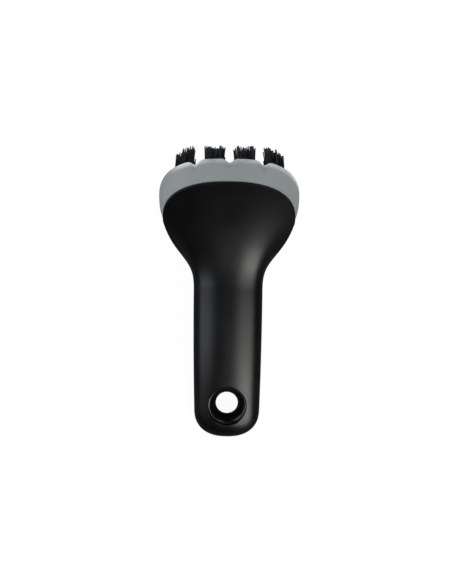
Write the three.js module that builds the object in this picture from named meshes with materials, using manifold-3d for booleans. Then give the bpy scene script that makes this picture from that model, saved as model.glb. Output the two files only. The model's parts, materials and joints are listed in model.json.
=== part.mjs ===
// Grill brush: a soft-skinned handle that ramps up into a flared head, under which a scalloped block carries
// columns of bristles.
// It is modelled with the handle along +Y and its back up, then laid down the way it rests on a table,
// on the end of the handle and the rear bristle tips. Sizes are millimetres, angles are degrees.
import * as THREE from "three";
import { ConvexGeometry } from "three/addons/geometries/ConvexGeometry.js";
import { ParametricGeometry } from "three/addons/geometries/ParametricGeometry.js";
import { mergeVertices } from "three/addons/utils/BufferGeometryUtils.js";
import Module from "manifold-3d";

// Handle
const HANDLE_LENGTH = 79.4; // rounded end to the neck, where the head begins to flare
const END_WIDTH = 34.8;
const MIDDLE_WIDTH = 36.7;
const NECK_WIDTH = 37.4;
const END_THICKNESS = 17;
const MIDDLE_THICKNESS = 20;
const NECK_THICKNESS = 21;
const HANDLE_ARCH = 7; // how far the rounded end hangs below the neck
const END_ROUNDING = 14.5; // how far in from the end the plan outline is rounded
const EDGE_ROUNDING = 9; // the same, seen from the side
const END_FULLNESS = 2.4; // exponent of that rounding, 2 being an ellipse
const SECTION_FULLNESS = 2.35; // exponent of every section across the handle and of the head's oval

// Head
const HEAD_TILT = 42; // how far the bristles swing forward of straight down
const HEAD_REACH = 39; // neck to the middle of the parting oval, along the handle
const HEAD_RISE = 15; // neck up to the middle of the parting oval
const HEAD_WIDTH = 70; // parting oval, side to side
const HEAD_FRONT = 23.3; // parting oval, middle to front
const HEAD_HEEL = 15.7; // parting oval, middle to heel
const RIM_HEIGHT = 2; // upright edge of the head above the parting
const BACK_EASE = 17.4; // how far the neck's line steers the back
const RAMP_EASE = 18.2; // how far the slope at the front edge steers the back
const RAMP_SLOPE = 35.3; // slope of the back at the front edge
const BELLY_EASE = 11; // how far the neck's line steers the belly
const HEEL_EASE = 10; // how far the parting plane steers the belly
const FLANK_QUARTERS = [0.07, 0.405, 0.78]; // share of the flare reached at each quarter of the head's back

// Shells
const FIT_GAP = 0.3; // clearance left between pieces that touch
const SKIN_THICKNESS = 2.2;
const FOOT_GAP = 0.7; // clearance around the core's foot, where the surfaces lean
const FOOT_SHARE = 0.6; // share of the head's back that the core follows before it turns down to its foot
const FOOT_FRONT = 7; // core's foot on the parting, middle of the oval to front, before the inset
const SPIGOT_HEIGHT = 5;
const SPIGOT_SHOULDER = 1.3; // width of the foot's ledge around the spigot
const SPIGOT_ROOT = 0.3; // spigot sunk into the foot

// Hang hole
const HOLE_FROM_END = 18.4;
const BORE_DIAMETER = 12;
const RIM_DIAMETER = 20.8;
const LIP_WIDTH = 1.2;
const LIP_RECESS = 0.6; // lip below the lowest point of the skin around it
const WAIST_LENGTH = 0.8; // straight part of the bore
const FUNNEL_CURVE = 1.35; // exponent of the flare from the bore to each lip, 1 being a cone

// Brush block
const BLOCK_DEPTH = 18.1;
const SIDE_SWELL = 1.8; // how far its sides stand out past the parting oval, halfway down
const LOWER_FLARE = 2.77; // the same, just above the rounded lower edge
const LOWER_ROUNDING = 2.86;
const FACE_FULLNESS = 2.7; // exponent of the bristle face's outline
const SCALLOP_WIDTH = 8.6; // rounded shoulder to rounded shoulder
const SCALLOP_DEPTH = 2.5;
const SCALLOP_SHOULDER = 0.25; // share of the half-width at which the lobe's shoulder turns in
const SCALLOP_RUNOUT = 20; // tilt that makes each scallop fade out up the front
const SCALLOP_SPREAD = 1.7; // scallop pitch beyond the column pitch

// Bristles
const COLUMNS = 4;
const FILE_SPACING = 3.47; // middle line of tufts to an outer line in the same column
const CENTRE_ROWS = 5;
const OUTER_ROWS = 4;
const SIDE_LAND = 6.86; // bristle face's side to the nearest tufts
const FRONT_LAND = 5.9;
const HEEL_LAND = 5.35;
const MIDDLE_SETBACK = 1.7; // middle tuft of a row behind the row's front tuft
const OUTER_SETBACK = 0.76; // outer columns start this much behind the middle ones
const CORNER_SETBACK = 4.38; // tuft at the outer side of an outer column behind the row's front tuft
const OUTER_HEEL_SETBACK = 4.74;
const TUFT_DIAMETER = 3;
const BRISTLE_LENGTH = 20;
const LENGTH_SPREAD = 1.3; // shortest bristle below the longest
const STRAND_WIDTH = 0.72;
const STRANDS_AROUND = 6; // around one in the middle
const STRAND_RING = 1.18; // radius they start from
const STRAND_LEAN = 0.022; // outward lean, per millimetre of length
const STRIP_MARGIN = 2.45; // tuft centre to the edge of its backing strip
const STRIP_THICKNESS = 1.6;
const PLUG_DEPTH = 5.5; // gathered root of a tuft, inside the block
const STRAND_ROOT = 0.6; // strand sunk into the strip
const ANCHOR_LENGTH = 2.7;
const ANCHOR_THICKNESS = 0.5;
const ANCHOR_HEIGHT = 1.6;

// Facets
const BODY_AROUND = 32;
const END_STEPS = 7;
const HANDLE_STEPS = 6;
const HEAD_STEPS = 9;
const BLOCK_AROUND = 56;
const BLOCK_STEPS = 2;
const SCALLOP_STEPS = 3;
const HOLE_AROUND = 28;
const FUNNEL_STEPS = 5;
const TUFT_AROUND = 6;
const STRIP_AROUND = 8;
const STRAND_SIDES = 3;
const CUTTER = 200; // side of the large boxes that trim the body
const OVERRUN = 10; // how far a cutter runs past what it cuts
const MERGE_DISTANCE = 1e-4; // corners closer than this are one corner
const REST_STEPS = 40; // halvings of the range in which the resting tilt is looked for
const STEEPEST_REST = 60; // upper end of that range

// Finishes
const CORE_FINISH = { color: 0x101113, roughness: 0.3, metalness: 0 };
const GRIP_FINISH = { color: 0x1a1b1d, roughness: 0.5, metalness: 0 };
const BLOCK_FINISH = { color: 0x7d8285, roughness: 0.75, metalness: 0 };
const BRISTLE_FINISH = { color: 0x1c2025, roughness: 0.45, metalness: 0 };
const ANCHOR_FINISH = { color: 0xb4b2a8, roughness: 0.35, metalness: 1 };

const wasm = await Module();
wasm.setup();
const headTilt = THREE.MathUtils.degToRad(HEAD_TILT);
const rampSlope = THREE.MathUtils.degToRad(RAMP_SLOPE);

// Solids from geometry, and back
function solidOf(geometry) {
  const bare = new THREE.BufferGeometry();
  bare.setAttribute("position", geometry.attributes.position.clone());
  if (geometry.index) bare.setIndex(geometry.index.clone());
  const merged = mergeVertices(bare, MERGE_DISTANCE);
  const corners = merged.index.array;
  const kept = [];
  for (let i = 0; i < corners.length; i += 3) {
    const [a, b, c] = [corners[i], corners[i + 1], corners[i + 2]];
    if (a !== b && b !== c && c !== a) kept.push(a, b, c);
  }
  const mesh = new wasm.Mesh({
    numProp: 3,
    vertProperties: merged.attributes.position.array,
    triVerts: new Uint32Array(kept),
  });
  return new wasm.Manifold(mesh);
}

function meshOf(name, solid, finish) {
  const data = solid.getMesh();
  const geometry = new THREE.BufferGeometry();
  geometry.setAttribute("position", new THREE.BufferAttribute(new Float32Array(data.vertProperties), 3));
  geometry.setIndex(new THREE.BufferAttribute(new Uint32Array(data.triVerts), 1));
  geometry.computeVertexNormals();
  const mesh = new THREE.Mesh(geometry, new THREE.MeshStandardMaterial(finish));
  mesh.name = name;
  return mesh;
}

// A point on a rounded oval whose front and heel halves differ in depth
function ovalPoint(angle, halfWidth, front, heel, fullness) {
  const across = Math.cos(angle);
  const along = Math.sin(angle);
  const power = 2 / fullness;
  return new THREE.Vector2(
    halfWidth * Math.sign(across) * Math.abs(across) ** power,
    (along > 0 ? front : heel) * Math.sign(along) * Math.abs(along) ** power,
  );
}

// How far forward that oval reaches at a distance across it
function ovalFront(across, halfWidth, front, fullness) {
  return front * (1 - Math.abs(across / halfWidth) ** fullness) ** (1 / fullness);
}

// Corners of a lofted ring, counted clockwise so that its faces look outward
function cornerAngle(share, around) {
  return -2 * Math.PI * ((Math.round(share * around) % around) / around);
}

// Black body seen from the side: the handle's spine, then the head's back and belly up to the parting's rim
const headCentre = new THREE.Vector2(HANDLE_LENGTH + HEAD_REACH, HEAD_RISE);
const frontWay = new THREE.Vector2(Math.cos(headTilt), Math.sin(headTilt));
const bristleWay = new THREE.Vector2(Math.sin(headTilt), -Math.cos(headTilt));
const handleSpine = new THREE.QuadraticBezierCurve(
  new THREE.Vector2(0, -HANDLE_ARCH),
  new THREE.Vector2(HANDLE_LENGTH / 2, 0),
  new THREE.Vector2(HANDLE_LENGTH, 0),
);
const rimCentre = headCentre.clone().addScaledVector(bristleWay, -RIM_HEIGHT);
const frontEdge = rimCentre.clone().addScaledVector(frontWay, HEAD_FRONT);
const heelEdge = rimCentre.clone().addScaledVector(frontWay, -HEAD_HEEL);
const rampWay = new THREE.Vector2(Math.cos(rampSlope), Math.sin(rampSlope));
const backCurve = new THREE.CubicBezierCurve(
  new THREE.Vector2(HANDLE_LENGTH, NECK_THICKNESS / 2),
  new THREE.Vector2(HANDLE_LENGTH + BACK_EASE, NECK_THICKNESS / 2),
  frontEdge.clone().addScaledVector(rampWay, -RAMP_EASE),
  frontEdge,
);
const bellyCurve = new THREE.CubicBezierCurve(
  new THREE.Vector2(HANDLE_LENGTH, -NECK_THICKNESS / 2),
  new THREE.Vector2(HANDLE_LENGTH + BELLY_EASE, -NECK_THICKNESS / 2),
  heelEdge.clone().addScaledVector(frontWay, -HEEL_EASE),
  heelEdge,
);

// Half-width of the head, against the share of the way from the neck to the rim
const flankCurve = new THREE.SplineCurve(
  [0, ...FLANK_QUARTERS, 1].map((flare, quarter) => {
    return new THREE.Vector2(quarter / 4, THREE.MathUtils.lerp(NECK_WIDTH, HEAD_WIDTH, flare) / 2);
  }),
);
const footHalfWidth = flankCurve.getPoint(FOOT_SHARE).y;

// A size that runs smoothly through its values at the end, the middle and the neck of the handle
function through(end, middle, neck, along) {
  const curve = new THREE.SplineCurve([
    new THREE.Vector2(0, end),
    new THREE.Vector2(0.5, middle),
    new THREE.Vector2(1, neck),
  ]);
  return curve.getPoint(along).y;
}

// Share of the full size reached at a distance from the rounded end
function roundedShare(distance, length) {
  if (distance >= length) return 1;
  return (1 - (1 - distance / length) ** END_FULLNESS) ** (1 / END_FULLNESS);
}

// Section of the handle at a share of its length: half-width and half-thickness before the end is rounded
function handleSection(along) {
  return {
    halfWidth: through(END_WIDTH, MIDDLE_WIDTH, NECK_WIDTH, along) / 2,
    halfThickness: through(END_THICKNESS, MIDDLE_THICKNESS, NECK_THICKNESS, along) / 2,
  };
}

// Sections of the handle, drawn in by an inset so that skin and core follow one another
function handleStations(inset) {
  const stations = [];
  function place(distance) {
    const along = distance / HANDLE_LENGTH;
    const { halfWidth, halfThickness } = handleSection(along);
    const wide = (halfWidth - inset) * roundedShare(distance - inset, END_ROUNDING - inset);
    const thick = (halfThickness - inset) * roundedShare(distance - inset, EDGE_ROUNDING - inset);
    const tangent = handleSpine.getTangent(along);
    const rise = new THREE.Vector2(-tangent.y, tangent.x);
    stations.push({ centre: handleSpine.getPoint(along), rise, halfWidth: wide, up: thick, down: thick });
  }
  for (let i = 0; i < END_STEPS; i++) {
    const turn = (Math.PI / 2) * (i / END_STEPS);
    place(inset + (END_ROUNDING - inset) * (1 - Math.cos(turn)));
  }
  for (let i = 0; i < HANDLE_STEPS; i++) {
    place(END_ROUNDING + (HANDLE_LENGTH - END_ROUNDING) * (i / HANDLE_STEPS));
  }
  return stations;
}

// A point of a curve moved square to it, to the left of its way when the distance is positive
function beside(curve, along, distance) {
  const tangent = curve.getTangent(along);
  return curve.getPoint(along).add(new THREE.Vector2(-tangent.y, tangent.x).multiplyScalar(distance));
}

// Half-width, front and heel of the core's foot on the parting plane, drawn in by an inset
function footSizes(inset) {
  return [footHalfWidth - inset, FOOT_FRONT - inset, HEAD_HEEL - inset];
}

// Sections of the head from the neck on, whose back stops at a share of the way to the rim. The inset runs
// from one value at the neck to another at the parting, and counts more and more at the sides on the way.
// An oval ends the head at the parting and is drawn out past it
function headStations(neckInset, endInset, backShare, oval) {
  const stations = [];
  for (let i = 0; i <= HEAD_STEPS; i++) {
    const along = i / HEAD_STEPS;
    const inset = THREE.MathUtils.lerp(neckInset, endInset, along);
    const back = beside(backCurve, along * backShare, -inset);
    const belly = beside(bellyCurve, along, inset);
    const swell = THREE.MathUtils.smoothstep(along, 0, 1);
    const below = THREE.MathUtils.lerp(0.5, HEAD_HEEL / (HEAD_FRONT + HEAD_HEEL), swell);
    const depth = back.distanceTo(belly);
    stations.push({
      centre: belly.clone().lerp(back, below),
      rise: back.clone().sub(belly).normalize(),
      halfWidth: flankCurve.getPoint(along * backShare).y - inset * (1 + along),
      up: depth * (1 - below),
      down: depth * below,
    });
  }
  const [halfWidth, up, down] = oval;
  for (const depth of [0, BLOCK_DEPTH]) {
    const centre = headCentre.clone().addScaledVector(bristleWay, depth);
    stations.push({ centre, rise: frontWay, halfWidth, up, down });
  }
  return stations;
}

// Solid through a row of sections, closed flat after the last
function loftSolid(stations) {
  const last = stations.length;
  const surface = new ParametricGeometry(
    (u, v, target) => {
      const ring = Math.round(v * last);
      const station = stations[Math.min(ring, last - 1)];
      const size = ring === last ? 0 : 1;
      const angle = cornerAngle(u, BODY_AROUND);
      const { x, y } = ovalPoint(angle, station.halfWidth, station.up, station.down, SECTION_FULLNESS);
      const rise = station.rise.clone().multiplyScalar(y * size);
      target.set(x * size, station.centre.x + rise.x, station.centre.y + rise.y);
    },
    BODY_AROUND,
    last,
  );
  return solidOf(surface);
}

// Head frame: the parting oval in its XY plane, front along +Y, bristles along -Z
const headMatrix = new THREE.Matrix4().makeRotationX(headTilt).setPosition(0, headCentre.x, headCentre.y);

function footPrism(inset, top, bottom) {
  const outline = [];
  for (let i = 0; i < BLOCK_AROUND; i++) {
    const angle = (2 * Math.PI * i) / BLOCK_AROUND;
    outline.push(ovalPoint(angle, ...footSizes(inset), SECTION_FULLNESS));
  }
  const oval = new THREE.Shape(outline);
  const prism = new THREE.ExtrudeGeometry(oval, { depth: top - bottom, bevelEnabled: false });
  return prism.translate(0, 0, bottom);
}

// Outside of the body, and what lies inside its skin, both run on past the parting plane
function bodySolid() {
  const oval = [HEAD_WIDTH / 2, HEAD_FRONT, HEAD_HEEL];
  return loftSolid([...handleStations(0), ...headStations(0, 0, 1, oval)]);
}

function fillingSolid(neckInset, footInset) {
  const head = headStations(neckInset, footInset, FOOT_SHARE, footSizes(footInset));
  return loftSolid([...handleStations(neckInset), ...head]);
}

// Everything on the bristle side of the parting plane
function pastParting() {
  const box = new THREE.BoxGeometry(CUTTER, CUTTER, CUTTER).translate(0, 0, -CUTTER / 2);
  return solidOf(box.applyMatrix4(headMatrix));
}

// Hang hole frame: on the spine, square to the handle there, +Z out of the handle's back
const holeAlong = HOLE_FROM_END / HANDLE_LENGTH;
const holeCentre = handleSpine.getPoint(holeAlong);
const holeTangent = handleSpine.getTangent(holeAlong);
const holeMatrix = new THREE.Matrix4()
  .makeRotationX(Math.atan2(holeTangent.y, holeTangent.x))
  .setPosition(0, holeCentre.x, holeCentre.y);
const { halfWidth: holeHalfWidth, halfThickness: holeHalfThickness } = handleSection(holeAlong);
const lipHeight =
  ovalFront(RIM_DIAMETER / 2, holeHalfWidth, holeHalfThickness, SECTION_FULLNESS) - LIP_RECESS;

function holeCylinder(radius, halfLength) {
  const cylinder = new THREE.CylinderGeometry(radius, radius, 2 * halfLength, HOLE_AROUND);
  return solidOf(cylinder.rotateX(Math.PI / 2).applyMatrix4(holeMatrix));
}

// The hole's hourglass: a short straight waist, then a flare opening out to each lip
function holeFunnel() {
  const bore = BORE_DIAMETER / 2;
  const mouth = RIM_DIAMETER / 2 - LIP_WIDTH;
  const upper = [];
  for (let i = 0; i <= FUNNEL_STEPS; i++) {
    const share = i / FUNNEL_STEPS;
    const radius = bore + (mouth - bore) * share ** FUNNEL_CURVE;
    const height = THREE.MathUtils.lerp(WAIST_LENGTH / 2, lipHeight, share);
    upper.push(new THREE.Vector2(radius, height));
  }
  upper.push(new THREE.Vector2(mouth, lipHeight + OVERRUN), new THREE.Vector2(0, lipHeight + OVERRUN));
  const lower = upper.map((point) => new THREE.Vector2(point.x, -point.y)).reverse();
  const lathe = new THREE.LatheGeometry([...lower, ...upper], HOLE_AROUND);
  return solidOf(lathe.rotateX(Math.PI / 2).applyMatrix4(holeMatrix));
}

// Handle core: hard solid moulding with the hang hole's flared ring and the spigot that holds the block
function handleCore() {
  const outer = SKIN_THICKNESS + FIT_GAP;
  const foot = SKIN_THICKNESS + FOOT_GAP;
  const spigot = footPrism(foot + SPIGOT_SHOULDER, SPIGOT_ROOT, -SPIGOT_HEIGHT).applyMatrix4(headMatrix);
  return fillingSolid(outer, foot)
    .subtract(pastParting())
    .add(solidOf(spigot))
    .add(holeCylinder(RIM_DIAMETER / 2, lipHeight))
    .subtract(holeFunnel());
}

// Handle grip: soft skin over the whole core, open at the hang hole's rim and at the parting
function handleGrip() {
  return bodySolid()
    .subtract(fillingSolid(SKIN_THICKNESS, SKIN_THICKNESS))
    .subtract(pastParting())
    .subtract(holeCylinder(RIM_DIAMETER / 2 + FIT_GAP, END_THICKNESS));
}

// Tufts: each row has two with a third set back between them; in the outer columns it swings round the corner
const faceHalfWidth = HEAD_WIDTH / 2 + LOWER_FLARE - LOWER_ROUNDING;
const faceFront = HEAD_FRONT + LOWER_FLARE - LOWER_ROUNDING;
const faceHeel = HEAD_HEEL + LOWER_FLARE - LOWER_ROUNDING;
const columnPitch = (2 * (faceHalfWidth - SIDE_LAND - FILE_SPACING)) / (COLUMNS - 1);

function columnTufts(column) {
  const middle = (column - (COLUMNS - 1) / 2) * columnPitch;
  const isOuter = column === 0 || column === COLUMNS - 1;
  const rows = isOuter ? OUTER_ROWS : CENTRE_ROWS;
  const front = faceFront - FRONT_LAND - (isOuter ? OUTER_SETBACK : 0);
  const heel = HEEL_LAND - faceHeel + (isOuter ? OUTER_HEEL_SETBACK : 0);
  const pitch = (front - heel) / (rows - 1);
  const tufts = [];
  for (let row = 0; row < rows; row++) {
    const level = front - row * pitch;
    const isLast = row === rows - 1;
    for (const side of [-1, 1]) {
      const atCorner = isOuter && side * middle > 0;
      const across = middle + side * FILE_SPACING;
      if (!atCorner) tufts.push(new THREE.Vector2(across, level));
      else if (!isLast) tufts.push(new THREE.Vector2(across, level - CORNER_SETBACK));
    }
    if (!isLast) tufts.push(new THREE.Vector2(middle, level - MIDDLE_SETBACK));
  }
  return tufts;
}

const columns = [];
for (let column = 0; column < COLUMNS; column++) columns.push(columnTufts(column));

// A flat strip of the bristle face that holds one column's tufts
function stripSolid(tufts, margin, top) {
  const points = [];
  for (const tuft of tufts) {
    for (let i = 0; i < STRIP_AROUND; i++) {
      const angle = (2 * Math.PI * (i + 0.5)) / STRIP_AROUND;
      const x = tuft.x + margin * Math.cos(angle);
      const y = tuft.y + margin * Math.sin(angle);
      points.push(new THREE.Vector3(x, y, top), new THREE.Vector3(x, y, -BLOCK_DEPTH));
    }
  }
  return solidOf(new ConvexGeometry(points));
}

function tuftCylinder(tuft, radius, top, bottom) {
  const cylinder = new THREE.CylinderGeometry(radius, radius, top - bottom, TUFT_AROUND);
  return solidOf(cylinder.rotateX(Math.PI / 2).translate(tuft.x, tuft.y, (top + bottom) / 2));
}

// Heights in the head frame, from the bristle face inward
const stripTop = STRIP_THICKNESS - BLOCK_DEPTH;
const plugTop = stripTop + PLUG_DEPTH;
const anchorMiddle = plugTop + FIT_GAP + ANCHOR_HEIGHT / 2;
const tuftHoleTop = anchorMiddle + ANCHOR_HEIGHT / 2 + FIT_GAP;

// Side of the brush block from the parting down: outward offset from the oval, and height
function blockProfile() {
  const profile = new THREE.Path();
  profile.moveTo(0, -FIT_GAP);
  profile.splineThru([
    new THREE.Vector2(SIDE_SWELL, (LOWER_ROUNDING - BLOCK_DEPTH) / 2),
    new THREE.Vector2(LOWER_FLARE, LOWER_ROUNDING - BLOCK_DEPTH),
  ]);
  profile.quadraticCurveTo(LOWER_FLARE, -BLOCK_DEPTH, LOWER_FLARE - LOWER_ROUNDING, -BLOCK_DEPTH);
  return profile.getPoints(BLOCK_STEPS);
}

function blockBody() {
  const profile = blockProfile();
  const last = profile.length + 1;
  const surface = new ParametricGeometry(
    (u, v, target) => {
      const ring = Math.round(v * last);
      const { x: swell, y: height } = profile[THREE.MathUtils.clamp(ring - 1, 0, profile.length - 1)];
      const size = ring === 0 || ring === last ? 0 : 1;
      const fullness = THREE.MathUtils.lerp(SECTION_FULLNESS, FACE_FULLNESS, -height / BLOCK_DEPTH);
      const angle = cornerAngle(u, BLOCK_AROUND);
      const depths = [HEAD_WIDTH / 2 + swell, HEAD_FRONT + swell, HEAD_HEEL + swell];
      const { x, y } = ovalPoint(angle, ...depths, fullness);
      target.set(x * size, y * size, height);
    },
    BLOCK_AROUND,
    last,
  );
  return solidOf(surface);
}

// Cutter between two lobes of the front: their rounded shoulders meet in a cusp that fades out up the front
function scallop(across) {
  const half = SCALLOP_WIDTH / 2;
  const [left, edge, right] = [-half, 0, half].map((step) =>
    ovalFront(across + step, HEAD_WIDTH / 2 + LOWER_FLARE, HEAD_FRONT + LOWER_FLARE, FACE_FULLNESS),
  );
  const cusp = new THREE.Shape();
  cusp.moveTo(half, OVERRUN);
  cusp.lineTo(-half, OVERRUN);
  cusp.lineTo(-half, 0);
  cusp.quadraticCurveTo(-half * SCALLOP_SHOULDER, 0, 0, -SCALLOP_DEPTH);
  cusp.quadraticCurveTo(half * SCALLOP_SHOULDER, 0, half, 0);
  const cutter = new THREE.ExtrudeGeometry(cusp, {
    depth: 2 * BLOCK_DEPTH,
    bevelEnabled: false,
    curveSegments: SCALLOP_STEPS,
  });
  cutter.translate(0, 0, -OVERRUN).rotateX(-THREE.MathUtils.degToRad(SCALLOP_RUNOUT));
  cutter.rotateZ(Math.atan2(right - left, SCALLOP_WIDTH));
  return solidOf(cutter.translate(across, edge, -BLOCK_DEPTH));
}

// Brush block: flared sides, rounded lower edge, scalloped front, a socket behind, a blind hole for each tuft
function brushBlock() {
  const socketInset = SKIN_THICKNESS + FOOT_GAP + SPIGOT_SHOULDER - FIT_GAP;
  const socket = footPrism(socketInset, OVERRUN, -SPIGOT_HEIGHT - FIT_GAP);
  let block = blockBody().subtract(solidOf(socket));
  for (let groove = 1; groove < COLUMNS; groove++) {
    block = block.subtract(scallop((groove - COLUMNS / 2) * (columnPitch + SCALLOP_SPREAD)));
  }
  for (const tufts of columns) {
    block = block.subtract(stripSolid(tufts, STRIP_MARGIN + FIT_GAP, stripTop + FIT_GAP));
    for (const tuft of tufts) {
      const hole = tuftCylinder(tuft, TUFT_DIAMETER / 2 + FIT_GAP, tuftHoleTop, -BLOCK_DEPTH - OVERRUN);
      block = block.subtract(hole);
    }
  }
  return block;
}

// A repeatable scatter between 0 and 1, from the fraction of a fast wave
const SCATTER_RATE = 12.9898;
const SCATTER_HEIGHT = 43758.5453;
function scatter(seed) {
  const wave = SCATTER_HEIGHT * Math.sin(SCATTER_RATE * seed);
  return wave - Math.floor(wave);
}

// One straight strand, its root sunk into the strip
function strandSolid(x, y, leanX, leanY, length) {
  const way = new THREE.Vector3(leanX, leanY, -1).normalize();
  const whole = length + STRAND_ROOT;
  const strand = new THREE.CylinderGeometry(STRAND_WIDTH / 2, STRAND_WIDTH / 2, whole, STRAND_SIDES);
  const turn = new THREE.Quaternion().setFromUnitVectors(new THREE.Vector3(0, 1, 0), way);
  const middle = new THREE.Vector3(x, y, -BLOCK_DEPTH).addScaledVector(way, whole / 2 - STRAND_ROOT);
  return solidOf(strand.applyQuaternion(turn).translate(middle.x, middle.y, middle.z));
}

// Bristle column: tufts of strands standing out of a strip of the bristle face, each with its root behind
let strandNumber = 0;
function bristleColumn(tufts) {
  let solid = stripSolid(tufts, STRIP_MARGIN, stripTop);
  for (const tuft of tufts) {
    solid = solid.add(tuftCylinder(tuft, TUFT_DIAMETER / 2, plugTop, stripTop - STRAND_ROOT));
    const firstTurn = scatter(tuft.x + tuft.y);
    for (let strand = 0; strand <= STRANDS_AROUND; strand++) {
      strandNumber += 1;
      const ring = strand === STRANDS_AROUND ? 0 : STRAND_RING;
      const angle = (2 * Math.PI * (strand + firstTurn)) / STRANDS_AROUND;
      const [outX, outY] = [ring * Math.cos(angle), ring * Math.sin(angle)];
      const length = BRISTLE_LENGTH - LENGTH_SPREAD * scatter(strandNumber);
      const strandAt = [tuft.x + outX, tuft.y + outY, outX * STRAND_LEAN, outY * STRAND_LEAN];
      solid = solid.add(strandSolid(...strandAt, length));
    }
  }
  return solid;
}

// Assembly: the brush with its handle along +Y, the head tilted on the end of it
const brush = new THREE.Group();
brush.name = "brush";
brush.add(meshOf("handle_core", handleCore(), CORE_FINISH));
brush.add(meshOf("handle_grip", handleGrip(), GRIP_FINISH));
const head = new THREE.Group();
head.name = "head";
head.position.set(0, headCentre.x, headCentre.y);
head.rotation.x = headTilt;
brush.add(head);
head.add(meshOf("brush_block", brushBlock(), BLOCK_FINISH));
let anchorNumber = 0;
columns.forEach((tufts, column) => {
  head.add(meshOf(`bristle_column_${column + 1}`, bristleColumn(tufts), BRISTLE_FINISH));
  for (const tuft of tufts) {
    anchorNumber += 1;
    const flat = new THREE.BoxGeometry(ANCHOR_LENGTH, ANCHOR_THICKNESS, ANCHOR_HEIGHT);
    const anchor = new THREE.Mesh(flat, new THREE.MeshStandardMaterial(ANCHOR_FINISH));
    anchor.name = `tuft_anchor_${String(anchorNumber).padStart(2, "0")}`;
    anchor.position.set(tuft.x, tuft.y, anchorMiddle);
    head.add(anchor);
  }
});

// Laying it down: tip it until the handle's end and the bristles touch the table together, then centre it
function lowest(points, angle) {
  const heights = points.map((point) => point.y * Math.sin(angle) + point.z * Math.cos(angle));
  return heights.reduce((low, height) => Math.min(low, height), Infinity);
}

function restAngle(group) {
  const endPoints = [];
  const headPoints = [];
  group.updateMatrixWorld(true);
  group.traverse((node) => {
    if (!node.isMesh) return;
    const corners = node.geometry.attributes.position;
    for (let i = 0; i < corners.count; i++) {
      const point = new THREE.Vector3().fromBufferAttribute(corners, i).applyMatrix4(node.matrixWorld);
      (point.y < HANDLE_LENGTH / 2 ? endPoints : headPoints).push(point);
    }
  });
  let [flat, steep] = [0, THREE.MathUtils.degToRad(STEEPEST_REST)];
  for (let step = 0; step < REST_STEPS; step++) {
    const angle = (flat + steep) / 2;
    if (lowest(headPoints, angle) < lowest(endPoints, angle)) flat = angle;
    else steep = angle;
  }
  return (flat + steep) / 2;
}

brush.rotation.x = restAngle(brush);
const part = new THREE.Group();
part.name = "grill_brush";
part.add(brush);
part.updateMatrixWorld(true);
const bounds = new THREE.Box3().setFromObject(part, true);
const centre = bounds.getCenter(new THREE.Vector3());
brush.position.set(-centre.x, -centre.y, -bounds.min.z);

export default part;
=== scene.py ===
import json
import math
import random

import bmesh
import bpy
from mathutils import Matrix, Vector
from mathutils.bvhtree import BVHTree


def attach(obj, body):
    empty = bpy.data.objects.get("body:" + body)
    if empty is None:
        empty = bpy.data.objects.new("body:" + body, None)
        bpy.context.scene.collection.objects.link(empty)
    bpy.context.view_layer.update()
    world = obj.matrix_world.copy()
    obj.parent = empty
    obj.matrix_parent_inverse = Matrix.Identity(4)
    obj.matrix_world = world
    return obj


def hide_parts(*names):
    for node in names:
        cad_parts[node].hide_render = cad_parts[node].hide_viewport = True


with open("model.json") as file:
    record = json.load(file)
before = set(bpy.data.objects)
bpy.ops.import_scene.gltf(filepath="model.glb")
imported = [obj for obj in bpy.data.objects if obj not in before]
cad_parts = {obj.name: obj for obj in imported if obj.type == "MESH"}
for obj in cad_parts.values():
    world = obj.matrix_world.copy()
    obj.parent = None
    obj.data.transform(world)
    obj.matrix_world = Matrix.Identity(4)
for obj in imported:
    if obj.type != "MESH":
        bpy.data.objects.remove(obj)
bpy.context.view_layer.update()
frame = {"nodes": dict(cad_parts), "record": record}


# The brush as it lies
# The handle and head are drawn with the handle along +Y, its rounded end at the origin and its back up.
# On a table the brush tips until the end of the handle and the bristle tips touch, and the flat lip of the
# hang hole, which is a mount in the record, tells how far.
handle_length = 0.0794
handle_arch = 0.007
hole_from_end = 0.0184
lip_height = 0.00735

head_reach, head_rise = 0.039, 0.015
head_tilt = math.radians(42)


def along_curve(points, share):
    """Point and direction at a share of the Bezier curve that the points steer."""
    while len(points) > 2:
        points = [a.lerp(b, share) for a, b in zip(points, points[1:])]
    return points[0].lerp(points[1], share), (points[1] - points[0]).normalized()


handle_spine = [
    Vector((0, 0, -handle_arch)),
    Vector((0, handle_length / 2, 0)),
    Vector((0, handle_length, 0)),
]
head_centre = Vector((0, handle_length + head_reach, head_rise))
front_way = Vector((0, math.cos(head_tilt), math.sin(head_tilt)))
bristle_way = Vector((0, math.sin(head_tilt), -math.cos(head_tilt)))
in_head = Matrix.Translation(head_centre) @ Matrix.Rotation(head_tilt, 4, "X")

hole_centre, hole_way = along_curve(handle_spine, hole_from_end / handle_length)
hole_slope = math.atan2(hole_way.z, hole_way.y)
in_hole = Matrix.Translation(hole_centre) @ Matrix.Rotation(hole_slope, 4, "X")

hang_lip = frame["record"]["mounts"][0]
lip_point = Vector(hang_lip["pos_m"])
lip_axis = Vector(hang_lip["axis"])
tip_back = Matrix.Rotation(math.atan2(-lip_axis.y, lip_axis.z) - hole_slope, 4, "X")
lip_at_home = in_hole @ Vector((lip_point.x, 0, lip_height))
at_rest = Matrix.Translation(lip_point - tip_back @ lip_at_home) @ tip_back


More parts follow.
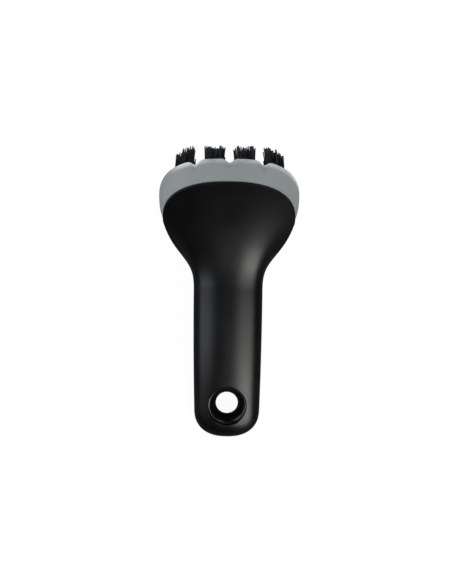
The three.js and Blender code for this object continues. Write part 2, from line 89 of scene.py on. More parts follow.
# Handle core
# A hard black plastic moulding runs inside the whole handle and ends in a spigot that plugs into the block.
# All that shows of it is the ring of the hang hole, polished, flaring from a narrow waist to two lips.
end_width, middle_width, neck_width = 0.0348, 0.0367, 0.0374
end_thickness, middle_thickness, neck_thickness = 0.017, 0.020, 0.021
end_rounding, edge_rounding, end_fullness = 0.0145, 0.009, 2.4
section_fullness, shoulder_fullness = 2.35, 0.6
head_width, head_front, head_heel = 0.07, 0.0233, 0.0157
rim_height = 0.002
back_ease, back_bend, back_lift = 0.01305, 0.02875, 0.0036
ramp_ease, ramp_slope = 0.01365, math.radians(35.3)
belly_ease, heel_ease = 0.011, 0.010
flank_flare = (0, 0, 0, 0.75, 0.875, 1)

core_inset = 0.0025
foot_share, foot_width, foot_front = 0.6, 0.0556, 0.007
spigot_inset, spigot_height = 0.0042, 0.005
ring_radius, lip_width, bore_radius = 0.0104, 0.0012, 0.006
waist_length, funnel_curve, lip_edge = 0.0008, 1.35, 0.0003
core_corners, hole_corners = 96, 96


def oval(turn, half_width, front, heel, fullness):
    """Point on a rounded oval whose front and heel halves differ in depth."""
    across, along = math.cos(turn), math.sin(turn)
    power = 2 / fullness
    depth = front if along > 0 else heel
    return Vector((
        half_width * math.copysign(abs(across) ** power, across),
        depth * math.copysign(abs(along) ** power, along),
    ))


def handle_size(end, middle, neck, share):
    """Size along the handle that passes smoothly through its values at the end, the middle and the neck."""
    steer = 2 * middle - (end + neck) / 2
    return end * (1 - share) ** 2 + 2 * steer * share * (1 - share) + neck * share ** 2


def rounded_end(distance, length):
    """Share of the full size at a distance from the rounded end of the handle."""
    if distance >= length:
        return 1
    return (1 - (1 - distance / length) ** end_fullness) ** (1 / end_fullness)


def smooth_step(share):
    return share * share * (3 - 2 * share)


neck_top = Vector((0, handle_length, neck_thickness / 2))
neck_bottom = Vector((0, handle_length, -neck_thickness / 2))
front_edge = head_centre - bristle_way * rim_height + front_way * head_front
heel_edge = head_centre - bristle_way * rim_height - front_way * head_heel
ramp_way = Vector((0, math.cos(ramp_slope), math.sin(ramp_slope)))
back_curve = [
    neck_top,
    neck_top + Vector((0, back_ease, 0)),
    neck_top + Vector((0, back_bend, back_lift)),
    front_edge - ramp_way * ramp_ease,
    front_edge,
]
belly_curve = [
    neck_bottom,
    neck_bottom + Vector((0, belly_ease, 0)),
    heel_edge - front_way * heel_ease,
    heel_edge,
]
flank_curve = [Vector((neck_width + (head_width - neck_width) * flare, 0)) / 2 for flare in flank_flare]


def body_sections(inset, end_steps, handle_steps, head_steps):
    """Sections of handle and head from the rounded end to the parting, drawn in by an inset."""
    sections = []

    def add_handle(distance):
        share = distance / handle_length
        wide = handle_size(end_width, middle_width, neck_width, share) / 2 - inset
        thick = handle_size(end_thickness, middle_thickness, neck_thickness, share) / 2 - inset
        wide *= rounded_end(distance - inset, end_rounding - inset)
        thick *= rounded_end(distance - inset, edge_rounding - inset)
        centre, way = along_curve(handle_spine, share)
        sections.append((centre, Vector((0, -way.z, way.y)), wide, thick, thick, section_fullness))

    for step in range(end_steps):
        add_handle(inset + (end_rounding - inset) * (1 - math.cos(math.pi / 2 * step / end_steps)))
    for step in range(handle_steps):
        add_handle(end_rounding + (handle_length - end_rounding) * step / handle_steps)
    for step in range(head_steps + 1):
        share = step / head_steps
        back_share = share * (foot_share if inset else 1)
        swell = smooth_step(share)
        back, back_way = along_curve(back_curve, back_share)
        belly, belly_way = along_curve(belly_curve, share)
        back -= Vector((0, -back_way.z, back_way.y)) * inset
        belly += Vector((0, -belly_way.z, belly_way.y)) * inset
        wide = along_curve(flank_curve, back_share)[0].x - inset * (1 + share)
        below = 0.5 + (head_heel / (head_front + head_heel) - 0.5) * swell
        rise = back - belly
        depths = rise.length * (1 - below), rise.length * below
        fullness = section_fullness + shoulder_fullness * math.sin(math.pi * back_share) ** 2
        sections.append((belly.lerp(back, below), rise.normalized(), wide, *depths, fullness))
    parting = (foot_width / 2, foot_front, head_heel) if inset else (head_width / 2, head_front, head_heel)
    sections.append((head_centre, front_way, *(size - inset for size in parting), section_fullness))
    return sections


def place_on_body(section, turn):
    centre, rise, wide, up, down, fullness = section
    point = oval(turn, wide, up, down, fullness)
    return centre + Vector((point.x, 0, 0)) + rise * point.y


def ring_edges(bm, ring):
    return [bm.edges.get(pair) for pair in zip(ring, ring[1:] + ring[:1])]


def next_ring(bm, ring):
    """Extrudes a closed ring of vertices, and returns the new ring in the same order."""
    made = set(bmesh.ops.extrude_edge_only(bm, edges=ring_edges(bm, ring))["geom"])
    return [next(e.other_vert(v) for e in v.link_edges if e.other_vert(v) in made) for v in ring]


def join_rings(bm, ring, other):
    """Spans the gap between two rings of as many corners with one row of faces."""
    bmesh.ops.weld_verts(bm, targetmap=dict(zip(next_ring(bm, ring), other)))


def circle(bm, corners, radius):
    """Ring of vertices around the origin, counted from +X toward +Y."""
    ring = bmesh.ops.create_circle(bm, segments=corners, radius=radius)["verts"]
    return sorted(ring, key=lambda v: round(math.atan2(v.co.y, v.co.x) % math.tau, 4))


def loft(bm, corners, sections, place):
    """Extrudes a circle from section to section, and returns its ring of vertices at each."""
    ring = circle(bm, corners, 1)
    rings = []
    for section in sections:
        if rings:
            ring = next_ring(bm, ring)
        for number, v in enumerate(ring):
            v.co = place(section, math.tau * number / corners)
        rings.append(ring)
    return rings


def close_end(bm, ring):
    """Gathers the first ring, at the tip of the rounded end, into one vertex."""
    middle = sum((v.co for v in ring), Vector()) / len(ring)
    bmesh.ops.pointmerge(bm, verts=ring, merge_co=middle)


def open_hang_hole(bm, faces, radius, collar):
    """Clears the hang hole out of a lofted surface, and returns the edge rings left on its back and front.
    Each cut is drawn onto a circle, and the collar from there to the hole is filled in to an even ring."""
    surface = BVHTree.FromBMesh(bm)
    to_hole = in_hole.inverted()
    axis = in_hole.to_3x3().col[2]

    def on_surface(flat, side):
        start = in_hole @ Vector((flat.x, flat.y, side * handle_length))
        return surface.ray_cast(start, -side * axis)[0]

    inside = {f for f in faces if (to_hole @ f.calc_center_median()).xy.length < radius + collar}
    cut = [e for e in {e for f in inside for e in f.edges} if not inside.issuperset(e.link_faces)]
    rim = {v for e in cut for v in e.verts}
    bmesh.ops.delete(bm, geom=list(inside), context="FACES")
    rings = []
    for side in (1, -1):
        verts = [v for v in rim if v.is_valid and side * (to_hole @ v.co).z > 0]
        for v in verts:
            v.co = on_surface((to_hole @ v.co).xy.normalized() * (radius + collar), side)
        bmesh.ops.remove_doubles(bm, verts=verts, dist=collar / 4)
        edges = {e for v in verts if v.is_valid for e in v.link_edges if e.is_boundary}
        ring = circle(bm, hole_corners, radius)
        for v in ring:
            v.co = on_surface(v.co, side)
        bmesh.ops.triangle_fill(bm, use_beauty=True, edges=[*edges, *ring_edges(bm, ring)], normal=axis)
        rings.append(ring)
    return rings


def finished_piece(name, bm, material, sharp_angle):
    """Lays a drawn piece down as the brush lies, and makes it an object that rides on the brush."""
    bmesh.ops.transform(bm, matrix=at_rest, verts=bm.verts)
    mesh = bpy.data.meshes.new(name)
    bm.to_mesh(mesh)
    bm.free()
    mesh.shade_smooth()
    mesh.set_sharp_from_angle(angle=math.radians(sharp_angle))
    mesh.materials.append(material)
    piece = bpy.data.objects.new(name, mesh)
    bpy.context.scene.collection.objects.link(piece)
    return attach(piece, "root")


def moulded_finish():
    """Node group for moulded surfaces: slow patches of tone and gloss, a fine grain, edges worn smooth and
    paler, their paler tone partly a painted highlight.
    """
    group = bpy.data.node_groups.new("moulded_finish", "ShaderNodeTree")
    for name, kind in (
        ("Place", "NodeSocketVector"),
        ("Tone", "NodeSocketColor"),
        ("Patch Tone", "NodeSocketColor"),
        ("Wear And Sheen Tone", "NodeSocketColor"),
        ("Wear And Sheen", "NodeSocketFloat"),
        ("Patch Scale", "NodeSocketFloat"),
        ("Grain Scale", "NodeSocketFloat"),
        ("Glossiest", "NodeSocketFloat"),
        ("Dullest", "NodeSocketFloat"),
    ):
        group.interface.new_socket(name, in_out="INPUT", socket_type=kind)
    for name, kind in (
        ("Color", "NodeSocketColor"),
        ("Roughness", "NodeSocketFloat"),
        ("Grain", "NodeSocketFloat"),
    ):
        group.interface.new_socket(name, in_out="OUTPUT", socket_type=kind)
    nodes, link = group.nodes, group.links.new
    given = nodes.new("NodeGroupInput")
    result = nodes.new("NodeGroupOutput")

    patches = nodes.new("ShaderNodeTexNoise")
    patches.inputs["Detail"].default_value = 4
    link(given.outputs["Place"], patches.inputs["Vector"])
    link(given.outputs["Patch Scale"], patches.inputs["Scale"])
    grain = nodes.new("ShaderNodeTexNoise")
    grain.inputs["Detail"].default_value = 2
    link(given.outputs["Place"], grain.inputs["Vector"])
    link(given.outputs["Grain Scale"], grain.inputs["Scale"])

    share = nodes.new("ShaderNodeMapRange")
    share.inputs["From Min"].default_value = 0.35
    share.inputs["From Max"].default_value = 0.65
    link(patches.outputs["Fac"], share.inputs["Value"])
    tone = nodes.new("ShaderNodeMix")
    tone.data_type = "RGBA"
    link(share.outputs["Result"], tone.inputs["Factor"])
    link(given.outputs["Tone"], tone.inputs["A"])
    link(given.outputs["Patch Tone"], tone.inputs["B"])
    # The worn share draws the tone toward the worn tone: wear on some pieces, partly a painted highlight on
    # others.
    wear_and_sheen_share = nodes.new("ShaderNodeMath")
    wear_and_sheen_share.operation = "MULTIPLY"
    link(given.outputs["Wear And Sheen"], wear_and_sheen_share.inputs[0])
    link(share.outputs["Result"], wear_and_sheen_share.inputs[1])
    wear_and_sheen_tone = nodes.new("ShaderNodeMix")
    wear_and_sheen_tone.data_type = "RGBA"
    link(wear_and_sheen_share.outputs["Value"], wear_and_sheen_tone.inputs["Factor"])
    link(tone.outputs["Result"], wear_and_sheen_tone.inputs["A"])
    link(given.outputs["Wear And Sheen Tone"], wear_and_sheen_tone.inputs["B"])
    link(wear_and_sheen_tone.outputs["Result"], result.inputs["Color"])

    gloss = nodes.new("ShaderNodeMapRange")
    gloss.inputs["From Min"].default_value = 0.3
    gloss.inputs["From Max"].default_value = 0.7
    mixed = nodes.new("ShaderNodeMix")
    mixed.inputs["Factor"].default_value = 0.4
    link(patches.outputs["Fac"], mixed.inputs["A"])
    link(grain.outputs["Fac"], mixed.inputs["B"])
    link(mixed.outputs["Result"], gloss.inputs["Value"])
    link(given.outputs["Glossiest"], gloss.inputs["To Min"])
    link(given.outputs["Dullest"], gloss.inputs["To Max"])
    worn_gloss = nodes.new("ShaderNodeMix")
    link(wear_and_sheen_share.outputs["Value"], worn_gloss.inputs["Factor"])
    link(gloss.outputs["Result"], worn_gloss.inputs["A"])
    link(given.outputs["Glossiest"], worn_gloss.inputs["B"])
    link(worn_gloss.outputs["Result"], result.inputs["Roughness"])
    link(grain.outputs["Fac"], result.inputs["Grain"])
    return group


moulded_group = moulded_finish()


def moulded_material(name, tones, patch_scale, grain_scale, gloss_range, grain_depth, shine):
    """Material on the moulded finish, whose tones are its own, its patches' and its worn edges', the last
    partly a painted highlight.
    Returns it with its finish node, for a piece's own additions."""
    material = bpy.data.materials.new(name)
    material.use_nodes = True
    nodes, link = material.node_tree.nodes, material.node_tree.links.new
    shader = nodes["Principled BSDF"]
    place = nodes.new("ShaderNodeTexCoord")
    finish = nodes.new("ShaderNodeGroup")
    finish.node_tree = moulded_group
    for socket, tone in zip(("Tone", "Patch Tone", "Wear And Sheen Tone"), tones):
        finish.inputs[socket].default_value = (*tone, 1)
    wear_and_sheen = nodes.new("ShaderNodeAttribute")
    wear_and_sheen.attribute_name = "wear_and_sheen"
    link(wear_and_sheen.outputs["Fac"], finish.inputs["Wear And Sheen"])
    shader.inputs["Specular IOR Level"].default_value = shine
    finish.inputs["Patch Scale"].default_value = patch_scale
    finish.inputs["Grain Scale"].default_value = grain_scale
    finish.inputs["Glossiest"].default_value = gloss_range[0]
    finish.inputs["Dullest"].default_value = gloss_range[1]
    bump = nodes.new("ShaderNodeBump")
    bump.inputs["Strength"].default_value = 1
    bump.inputs["Distance"].default_value = grain_depth
    link(place.outputs["Object"], finish.inputs["Place"])
    link(finish.outputs["Color"], shader.inputs["Base Color"])
    link(finish.outputs["Roughness"], shader.inputs["Roughness"])
    link(finish.outputs["Grain"], bump.inputs["Height"])
    link(bump.outputs["Normal"], shader.inputs["Normal"])
    return material, finish


# The third tone, on the lip tops of the hang hole, is partly wear and partly a painted highlight around the
# rim.
core_material, _ = moulded_material(
    "gloss_core_plastic",
    tones=((0.0028, 0.0028, 0.0032), (0.0042, 0.0042, 0.0046), (0.012, 0.012, 0.012)),
    patch_scale=180,
    grain_scale=2500,
    gloss_range=(0.14, 0.26),
    grain_depth=0.000004,
    shine=0.5,
)

bm = bmesh.new()
wear_and_sheen = bm.verts.layers.float.new("wear_and_sheen")
core_sections = body_sections(core_inset, end_steps=14, handle_steps=40, head_steps=40)
rings = loft(bm, core_corners, core_sections, place_on_body)
mouths = open_hang_hole(bm, bm.faces[:], ring_radius, collar=0.0008)
close_end(bm, rings[0])
spigot_foot = next_ring(bm, rings[-1])
for number, v in enumerate(spigot_foot):
    turn = math.tau * number / len(spigot_foot)
    depths = (foot_width / 2, foot_front, head_heel)
    v.co = in_head @ oval(turn, *(d - spigot_inset for d in depths), section_fullness).to_3d()
spigot_face = next_ring(bm, spigot_foot)
bmesh.ops.translate(bm, vec=bristle_way * spigot_height, verts=spigot_face)
bmesh.ops.edgeloop_fill(bm, edges=ring_edges(bm, spigot_face))

mouth_radius = ring_radius - lip_width
lip_profile = [
    (ring_radius, lip_height - lip_edge),
    (ring_radius - lip_edge / 3, lip_height - lip_edge / 3),
    (ring_radius - lip_edge, lip_height),
    (mouth_radius + lip_edge, lip_height - lip_edge / 4),
]
funnel_steps = 14
funnel_profile = []
for step in range(funnel_steps, -1, -1):
    share = step / funnel_steps
    radius = bore_radius + (mouth_radius - bore_radius) * share ** funnel_curve
    height = waist_length / 2 + (lip_height - lip_edge - waist_length / 2) * share
    funnel_profile.append((radius, height))
upper_profile = lip_profile + funnel_profile
ring_profile = upper_profile + [(radius, -height) for radius, height in reversed(upper_profile)]
ring = mouths[0]
for radius, height in ring_profile:
    ring = next_ring(bm, ring)
    for number, v in enumerate(ring):
        turn = math.tau * number / hole_corners
        v.co = in_hole @ Vector((radius * math.cos(turn), radius * math.sin(turn), height))
        # The lip tops take the paler worn tone: partly wear, partly a painted highlight around the rim of
        # the hole.
        v[wear_and_sheen] = 1 if abs(height) > lip_height - lip_edge / 2 else 0
join_rings(bm, ring, mouths[1])
bmesh.ops.recalc_face_normals(bm, faces=bm.faces)
core = finished_piece("core", bm, core_material, sharp_angle=40)
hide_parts("handle_core")


# Handle grip
# A skin of soft black rubber is moulded over the core from the rounded end up to the parting with the block.
# It is open at the hang hole, where its edge is rounded over, and its satin face has a fine eroded grain.
skin_thickness = 0.0022
skin_hole_radius = 0.0106
skin_hole_edge = 0.00025
skin_parting_edge = 0.0003
skin_corners = 160

grip_material, _ = moulded_material(
    "soft_grip_rubber",
    tones=((0.0008, 0.0008, 0.0010), (0.0016, 0.0016, 0.0019), (0.004, 0.004, 0.004)),
    patch_scale=70,
    grain_scale=2600,
    gloss_range=(0.29, 0.37),
    grain_depth=0.000012,
    shine=0.5,
)

bm = bmesh.new()
inner_sections = body_sections(skin_thickness, end_steps=14, handle_steps=40, head_steps=40)
inner_rings = loft(bm, skin_corners, inner_sections, place_on_body)
inner_mouths = open_hang_hole(bm, bm.faces[:], skin_hole_radius, collar=0.001)
close_end(bm, inner_rings[0])
inner_faces = set(bm.faces)
outer_sections = body_sections(0, end_steps=24, handle_steps=80, head_steps=64)
outer_rings = loft(bm, skin_corners, outer_sections, place_on_body)
outer_faces = [f for f in bm.faces if f not in inner_faces]
outer_mouths = open_hang_hole(bm, outer_faces, skin_hole_radius, collar=0.001)
close_end(bm, outer_rings[0])
for outer_ring, inner_ring in zip([*outer_mouths, outer_rings[-1]], [*inner_mouths, inner_rings[-1]]):
    join_rings(bm, outer_ring, inner_ring)
bmesh.ops.recalc_face_normals(bm, faces=bm.faces)
mouth_edges = ring_edges(bm, outer_mouths[0]) + ring_edges(bm, outer_mouths[1])
parting_edges = ring_edges(bm, outer_rings[-1])
wear_and_sheen = bm.verts.layers.float.new("wear_and_sheen")
for edges, edge_width in ((mouth_edges, skin_hole_edge), (parting_edges, skin_parting_edge)):
    rounded = bmesh.ops.bevel(
        bm,
        geom=edges,
        offset=edge_width,
        offset_type="OFFSET",
        affect="EDGES",
        segments=4,
        profile=0.5,
        material=-1,
    )
    for v in rounded["verts"]:
        v[wear_and_sheen] = 1
grip = finished_piece("grip", bm, grip_material, sharp_angle=40)
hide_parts("handle_grip")


# Brush block
# A block of grey plastic closes the head. Its sides flare toward a rounded lower edge, its front is drawn in
# between the bristle columns to leave four lobes, and its flat face has a blind hole for each tuft.
block_depth = 0.0181
parting_gap, block_edge = 0.0003, 0.0003
lower_flare, lower_rounding = 0.00277, 0.00286
upper_swell, upper_reach = 0.00085, 0.0033
lower_swell, lower_reach = 0.00245, 0.0094
face_fullness = 2.7
socket_inset, socket_depth = 0.0039, 0.0053
groove_width, groove_depth = 0.0105, 0.003
groove_floor = 0.25
groove_run_out = math.tan(math.radians(16))
groove_softness, groove_spread = 0.0004, 0.0017
edge_wear_and_sheen = 0.0035
block_corners, side_steps, lower_steps = 320, 18, 12

column_count = 4
file_spacing = 0.00347
side_land, front_land, heel_land = 0.00686, 0.0059, 0.00535
middle_setback, outer_setback, corner_setback, outer_heel_setback = 0.0013, 0.00076, 0.00438, 0.00474
centre_rows, outer_rows = 5, 4
tuft_hole_radius, tuft_hole_depth, tuft_hole_corners = 0.00175, 0.0092, 18

face_half_width = head_width / 2 + lower_flare - lower_rounding
face_front = head_front + lower_flare - lower_rounding
face_heel = head_heel + lower_flare - lower_rounding
column_pitch = 2 * (face_half_width - side_land - file_spacing) / (column_count - 1)
groove_pitch = column_pitch + groove_spread


def column_tufts(column):
    """Places of one column's tufts: rows of two with a third set back, swung round the side corners."""
    middle = (column - (column_count - 1) / 2) * column_pitch
    is_outer = column in (0, column_count - 1)
    rows = outer_rows if is_outer else centre_rows
    front = face_front - front_land - (outer_setback if is_outer else 0)
    heel = heel_land - face_heel + (outer_heel_setback if is_outer else 0)
    pitch = (front - heel) / (rows - 1)
    tufts = []
    for row in range(rows):
        level = front - row * pitch
        is_last = row == rows - 1
        for side in (-1, 1):
            at_corner = is_outer and side * middle > 0
            if not at_corner:
                tufts.append(Vector((middle + side * file_spacing, level)))
            elif not is_last:
                tufts.append(Vector((middle + side * file_spacing, level - corner_setback)))
        if not is_last:
            tufts.append(Vector((middle, level - middle_setback)))
    return tufts


columns = [column_tufts(column) for column in range(column_count)]


def groove_dip(across):
    """How far the front is drawn in at the lower edge, at a distance across it."""
    nearest = round(across / groove_pitch)
    if abs(nearest) > 1:
        return 0
    away = abs(across - nearest * groove_pitch) / (groove_width / 2)
    rise = max(1 - math.hypot(away, groove_floor), 0) / (1 - groove_floor)
    return groove_depth * rise ** 2


def place_on_block(section, turn):
    half_width, front, heel, height = section
    fullness = section_fullness + (face_fullness - section_fullness) * max(-height / block_depth, 0)
    across = math.cos(turn)
    even = math.copysign(abs(across) ** (fullness / 2), across)
    point = oval(math.copysign(math.acos(even), math.sin(turn)), half_width, front, heel, fullness)
    if point.y > 0:
        left = groove_dip(point.x) - groove_run_out * (block_depth + height)
        point.y -= (left + math.hypot(left, groove_softness)) / 2
    return in_head @ Vector((point.x, point.y, height))


def block_sections():
    """Half-width, front, heel and height of each ring, from the socket over the parting to the face."""
    socket = [d - socket_inset for d in (foot_width / 2, foot_front, head_heel)]
    sections = [(*socket, -socket_depth), (*socket, -parting_gap)]
    side = [
        Vector((0, -parting_gap - block_edge, 0)),
        Vector((upper_swell, -upper_reach, 0)),
        Vector((lower_swell, -lower_reach, 0)),
        Vector((lower_flare, lower_rounding - block_depth, 0)),
    ]
    lower = [
        side[-1],
        Vector((lower_flare, -block_depth, 0)),
        Vector((lower_flare - lower_rounding, -block_depth, 0)),
    ]
    profile = [(-block_edge, -parting_gap), (-block_edge / 3, -parting_gap - block_edge / 3)]
    for curve, steps in ((side, side_steps), (lower, lower_steps)):
        for step in range(steps):
            point, _ = along_curve(curve, step / steps)
            profile.append((point.x, point.y))
    profile.append((lower[-1].x, lower[-1].y))
    for swell, height in profile:
        sections.append((head_width / 2 + swell, head_front + swell, head_heel + swell, height))
    return sections


# The pale third tone, on the lower rounded edge and the lobe tops, is partly wear and partly a painted
# highlight.
block_material, _ = moulded_material(
    "grey_block_plastic",
    tones=((0.207, 0.226, 0.233), (0.220, 0.238, 0.245), (0.55, 0.575, 0.572)),
    patch_scale=55,
    grain_scale=2200,
    gloss_range=(0.44, 0.58),
    grain_depth=0.00001,
    shine=0.3,
)

bm = bmesh.new()
wear_and_sheen = bm.verts.layers.float.new("wear_and_sheen")
sections = block_sections()
rings = loft(bm, block_corners, sections, place_on_block)
# Painted highlight as well as wear: the lower rounded edge and the lobe tops fade to the pale worn tone.
for section, ring in zip(sections, rings):
    above_edge = section[-1] + block_depth - lower_rounding
    for v in ring:
        v[wear_and_sheen] = smooth_step(min(max(1 - above_edge / edge_wear_and_sheen, 0), 1))
bmesh.ops.edgeloop_fill(bm, edges=ring_edges(bm, rings[0]))
hole_rings = []
for tuft in [tuft for tufts in columns for tuft in tufts]:
    spot = in_head @ Matrix.Translation((tuft.x, tuft.y, -block_depth))
    hole = bmesh.ops.create_circle(bm, segments=tuft_hole_corners, radius=tuft_hole_radius, matrix=spot)
    hole_rings.append(hole["verts"])
face_edges = ring_edges(bm, rings[-1])
for hole in hole_rings:
    face_edges += ring_edges(bm, hole)
bmesh.ops.triangle_fill(bm, use_beauty=True, edges=face_edges)
for hole in hole_rings:
    floor_ring = next_ring(bm, hole)
    bmesh.ops.translate(bm, vec=-bristle_way * tuft_hole_depth, verts=floor_ring)
    bmesh.ops.edgeloop_fill(bm, edges=ring_edges(bm, floor_ring))
bmesh.ops.recalc_face_normals(bm, faces=bm.faces)
block = finished_piece("block", bm, block_material, sharp_angle=50)
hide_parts("brush_block")


# Bristle columns
# Stiff dark nylon filaments stand in tufts, each folded in half over a wire anchor and driven into its hole.
# They part a little toward their tips, which are trimmed to one level but fray a millimetre or two with use.
strands_in_tuft = 34
strand_radius, tip_taper = 0.00035, 0.9
strand_sides, strand_cuts = 6, 3
bristle_length, length_spread = 0.0204, 0.0022
tuft_radius = 0.0016
tuft_splay = 0.03
strand_turn, turn_stray = math.pi * (3 - math.sqrt(5)), 0.4
side_lean = 0.10
strand_stray = 0.012
strand_bend = 0.0005
root_depth, root_gather = 0.0071, 0.87
# The tips are painted paler, partly fraying and partly a painted highlight on the cut ends.
wear_and_sheen_tip_share = 0.125
# Strands take random tones between dark and pale, and the pale tone is partly a painted highlight that
# stands in for sheen streaks.
dark_strand, pale_and_sheen_strand = (0.003, 0.0038, 0.005), (0.034, 0.042, 0.054)

bristle_material, bristle_finish = moulded_material(
    "dark_bristle_nylon",
    tones=(dark_strand, (0.006, 0.0075, 0.010), (0.05, 0.055, 0.06)),
    patch_scale=400,
    grain_scale=5000,
    gloss_range=(0.3, 0.42),
    grain_depth=0.000004,
    shine=0.25,
)
nodes, link = bristle_material.node_tree.nodes, bristle_material.node_tree.links.new
strand_shade = nodes.new("ShaderNodeAttribute")
strand_shade.attribute_name = "shade"
# Random strand tone whose pale end is partly a painted highlight.
strand_tone = nodes.new("ShaderNodeMix")
strand_tone.data_type = "RGBA"
strand_tone.inputs["A"].default_value = (*dark_strand, 1)
strand_tone.inputs["B"].default_value = (*pale_and_sheen_strand, 1)
link(strand_shade.outputs["Fac"], strand_tone.inputs["Factor"])
link(strand_tone.outputs["Result"], bristle_finish.inputs["Tone"])

# One filament of unit length hangs from the origin, and a copy of it is drawn out into every strand.
filament_bm = bmesh.new()
filament_place = Matrix.Translation((0, 0, -0.5))
bmesh.ops.create_cone(
    filament_bm,
    cap_ends=True,
    segments=strand_sides,
    radius1=strand_radius * tip_taper,
    radius2=strand_radius,
    depth=1,
    matrix=filament_place,
)
long_edges = [e for e in filament_bm.edges if abs(e.verts[0].co.z - e.verts[1].co.z) > 0.5]
bmesh.ops.subdivide_edges(filament_bm, edges=long_edges, cuts=strand_cuts, use_grid_fill=True)
filament = bpy.data.meshes.new("filament")
filament_bm.to_mesh(filament)
filament_bm.free()
filament_size = len(filament.vertices)

fall = -(at_rest.to_3x3() @ bristle_way).z
draw = random.Random(3)
for column, tufts in enumerate(columns):
    bm = bmesh.new()
    wear_and_sheen = bm.verts.layers.float.new("wear_and_sheen")
    shade = bm.verts.layers.float.new("shade")
    for tuft in tufts:
        for strand in range(strands_in_tuft):
            reach = tuft_radius * math.sqrt((strand + 0.5) / strands_in_tuft)
            heading = strand * strand_turn + draw.uniform(-turn_stray, turn_stray)
            out = Vector((math.cos(heading), math.sin(heading)))
            lean = out * (tuft_splay * reach / tuft_radius)
            lean += Vector((draw.gauss(0, strand_stray), draw.gauss(0, strand_stray)))
            lean.x -= side_lean * (tuft.x / face_half_width) ** 3
            bend_way = draw.uniform(0, math.tau)
            bend = Vector((math.cos(bend_way), math.sin(bend_way))) * draw.uniform(0, strand_bend)
            length = bristle_length - length_spread * draw.random() ** 3
            strand_share = draw.random() ** 2
            tip = tuft + out * reach + lean * length + bend
            tip_height = (at_rest @ in_head @ Vector((tip.x, tip.y, -block_depth - length))).z
            length += min(tip_height, 0) / fall
            bm.from_mesh(filament)
            bm.verts.ensure_lookup_table()
            for v in bm.verts[-filament_size:]:
                down = -v.co.z
                v[shade] = strand_share
                # Tips fade to the paler worn tone, partly fraying and partly a painted highlight on the cut
                # ends.
                v[wear_and_sheen] = max(0, 1 - (1 - down) / wear_and_sheen_tip_share)
                drop = down * (length + root_depth) - root_depth
                spread = out * reach * (root_gather if drop < 0 else 1)
                side = tuft + spread + lean * max(drop, 0) + bend * (down * down)
                v.co = in_head @ Vector((v.co.x + side.x, v.co.y + side.y, -block_depth - drop))
    bmesh.ops.recalc_face_normals(bm, faces=bm.faces)
    bristles = finished_piece(f"bristles_{column + 1}", bm, bristle_material, sharp_angle=60)
    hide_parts(f"bristle_column_{column + 1}")
bpy.data.meshes.remove(filament)


# Tuft anchors
# A short flat of steel wire pins the fold of every tuft at the bottom of its hole, unseen in the block.
# The parts keep their shape from the frame and get the uneven shine of drawn wire.
anchor_material, _ = moulded_material(
    "drawn_anchor_wire",
    tones=((0.52, 0.51, 0.48), (0.6, 0.59, 0.56), (0.7, 0.69, 0.66)),
    patch_scale=900,
    grain_scale=6000,
    gloss_range=(0.25, 0.4),
    grain_depth=0.000004,
    shine=0.5,
)
anchor_material.node_tree.nodes["Principled BSDF"].inputs["Metallic"].default_value = 1
for name, node in frame["nodes"].items():
    if name.startswith("tuft_anchor"):
        node.data.materials.clear()
        node.data.materials.append(anchor_material)


# Table and backdrop
# The brush lies on a plain white table top that runs out of sight, in a white surround that lights it
# more from near the horizon. The table lies a hair low, so that the round end of the grip stays clear.
table_size, table_drop = 8, 0.00025
paper_white, table_white, table_glow = 0.8, 1.05, 0.9
surround_white, white_in_gloss = 1, 0.015
horizon_fill, upper_fill, upper_height = 1.5, 0.12, 0.6

bm = bmesh.new()
table_place = Matrix.Translation((0, 0, -table_drop))
bmesh.ops.create_grid(bm, x_segments=1, y_segments=1, size=table_size / 2, matrix=table_place)
table_mesh = bpy.data.meshes.new("table")
bm.to_mesh(table_mesh)
bm.free()
table = bpy.data.objects.new("table", table_mesh)
bpy.context.scene.collection.objects.link(table)


def studio_white(nodes, link, white):
    """Sockets that tell whether a ray sees the white studio itself, and how white it is.
    Gloss sees it held down, as black cards hold it off black goods."""
    light_path = nodes.new("ShaderNodeLightPath")
    seen = light_path.outputs["Is Camera Ray"]
    for kind in ("Is Glossy Ray", "Is Transmission Ray"):
        either = nodes.new("ShaderNodeMath")
        either.operation = "MAXIMUM"
        link(seen, either.inputs[0])
        link(light_path.outputs[kind], either.inputs[1])
        seen = either.outputs["Value"]
    level = nodes.new("ShaderNodeMapRange")
    level.inputs["To Min"].default_value = white
    level.inputs["To Max"].default_value = white_in_gloss
    link(light_path.outputs["Is Glossy Ray"], level.inputs["Value"])
    return seen, level.outputs["Result"]


table_material = bpy.data.materials.new("white_table")
table_material.use_nodes = True
nodes, link = table_material.node_tree.nodes, table_material.node_tree.links.new
nodes.remove(nodes["Principled BSDF"])
paper = nodes.new("ShaderNodeBsdfDiffuse")
paper.inputs["Color"].default_value = (paper_white, paper_white, paper_white, 1)
glow = nodes.new("ShaderNodeEmission")
seen, level = studio_white(nodes, link, table_white)
link(level, glow.inputs["Strength"])
glow_share = nodes.new("ShaderNodeMath")
glow_share.operation = "MULTIPLY"
glow_share.inputs[1].default_value = table_glow
link(seen, glow_share.inputs[0])
surface = nodes.new("ShaderNodeMixShader")
link(glow_share.outputs["Value"], surface.inputs["Fac"])
link(paper.outputs["BSDF"], surface.inputs[1])
link(glow.outputs["Emission"], surface.inputs[2])
link(surface.outputs["Shader"], nodes["Material Output"].inputs["Surface"])
table_mesh.materials.append(table_material)

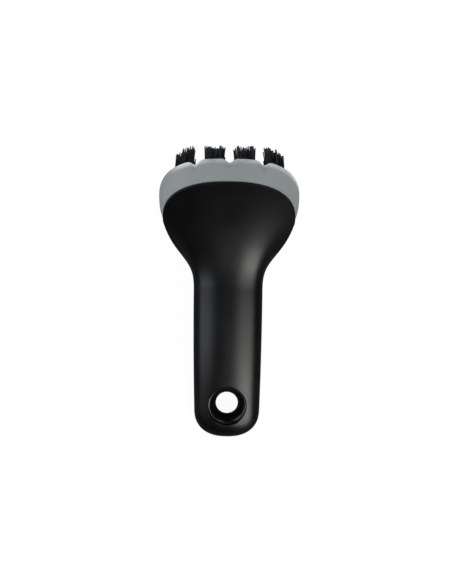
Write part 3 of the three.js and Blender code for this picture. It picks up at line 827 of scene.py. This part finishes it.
surround = bpy.data.worlds.new("surround")
bpy.context.scene.world = surround
surround.use_nodes = True
nodes, link = surround.node_tree.nodes, surround.node_tree.links.new
air = nodes["Background"]
air.inputs["Color"].default_value = (1, 1, 1, 1)
air_level = nodes.new("ShaderNodeMapRange")
where = nodes.new("ShaderNodeTexCoord")
height = nodes.new("ShaderNodeSeparateXYZ")
link(where.outputs["Generated"], height.inputs["Vector"])
fill = nodes.new("ShaderNodeMapRange")
fill.inputs["From Max"].default_value = upper_height
fill.inputs["To Min"].default_value = horizon_fill
fill.inputs["To Max"].default_value = upper_fill
link(height.outputs["Z"], fill.inputs["Value"])
link(fill.outputs["Result"], air_level.inputs["To Min"])
seen, level = studio_white(nodes, link, surround_white)
link(seen, air_level.inputs["Value"])
link(level, air_level.inputs["To Max"])
link(air_level.outputs["Result"], air.inputs["Strength"])


# Studio lights
# A soft box on either side leaves one band of sheen on the handle's back, and a lamp before the right one
# brightens its band toward the handle's end. Two low rear lamps light the block, and a dim card fills.
lit_point = Vector((0, 0.06, 0))


def soft_box(name, way, distance, width, height, glow, colour):
    """Area light of an even glow, out along a direction from the lit point, its width across the handle."""
    light = bpy.data.lights.new(name, "AREA")
    light.shape = "RECTANGLE"
    light.size = width
    light.size_y = height
    light.energy = glow * math.pi * width * height
    light.color = colour
    box = bpy.data.objects.new(name, light)
    way = Vector(way).normalized()
    across = Vector((0, 1, 0)).cross(way).normalized()
    facing = Matrix((across, way.cross(across), way)).transposed().to_4x4()
    box.matrix_world = at_rest @ Matrix.Translation(lit_point + way * distance) @ facing
    bpy.context.scene.collection.objects.link(box)


soft_box(
    "right_soft_box",
    way=(0.550, -0.291, 0.783),
    distance=1.0,
    width=0.82,
    height=0.66,
    glow=2.03,
    colour=(1, 1, 0.97),
)
soft_box(
    "right_lamp",
    way=(0.491, -0.475, 0.730),
    distance=0.95,
    width=0.58,
    height=0.3,
    glow=4.4,
    colour=(1, 1, 0.97),
)
soft_box(
    "left_soft_box",
    way=(-0.725, -0.125, 0.677),
    distance=1.0,
    width=0.84,
    height=0.34,
    glow=2.0,
    colour=(0.82, 0.89, 1),
)
soft_box(
    "right_card",
    way=(0.53, -0.79, 0.31),
    distance=1.4,
    width=1.2,
    height=1.0,
    glow=0.15,
    colour=(1, 1, 1),
)
soft_box(
    "left_rear_lamp",
    way=(-0.85, 0.6, 0.38),
    distance=1.0,
    width=0.6,
    height=0.4,
    glow=6.0,
    colour=(0.98, 1, 0.99),
)
soft_box(
    "right_rear_lamp",
    way=(0.5, 0.85, 0.38),
    distance=1.0,
    width=0.6,
    height=0.4,
    glow=3.6,
    colour=(0.98, 1, 0.99),
)


# Camera
# The photograph looks square onto the handle's back from a little over half a metre away,
# and the camera is rolled by less than a degree.
camera_distance = 0.560
camera_aim = Vector((-0.00113, 0.0788, 0))
camera_roll = math.radians(0.675)
photo_height_px, focal_length_px = 584, 1030.4
camera_data = bpy.data.cameras.new("camera")
camera_data.sensor_width = 36
camera_data.lens = focal_length_px * camera_data.sensor_width / photo_height_px
camera = bpy.data.objects.new("camera", camera_data)
bpy.context.scene.collection.objects.link(camera)
aimed = Matrix.Translation(camera_aim) @ Matrix.Rotation(camera_roll, 4, "Z")
camera.matrix_world = at_rest @ aimed @ Matrix.Translation((0, 0, camera_distance))
bpy.context.scene.camera = camera

bpy.context.scene.view_settings.view_transform = "Standard"
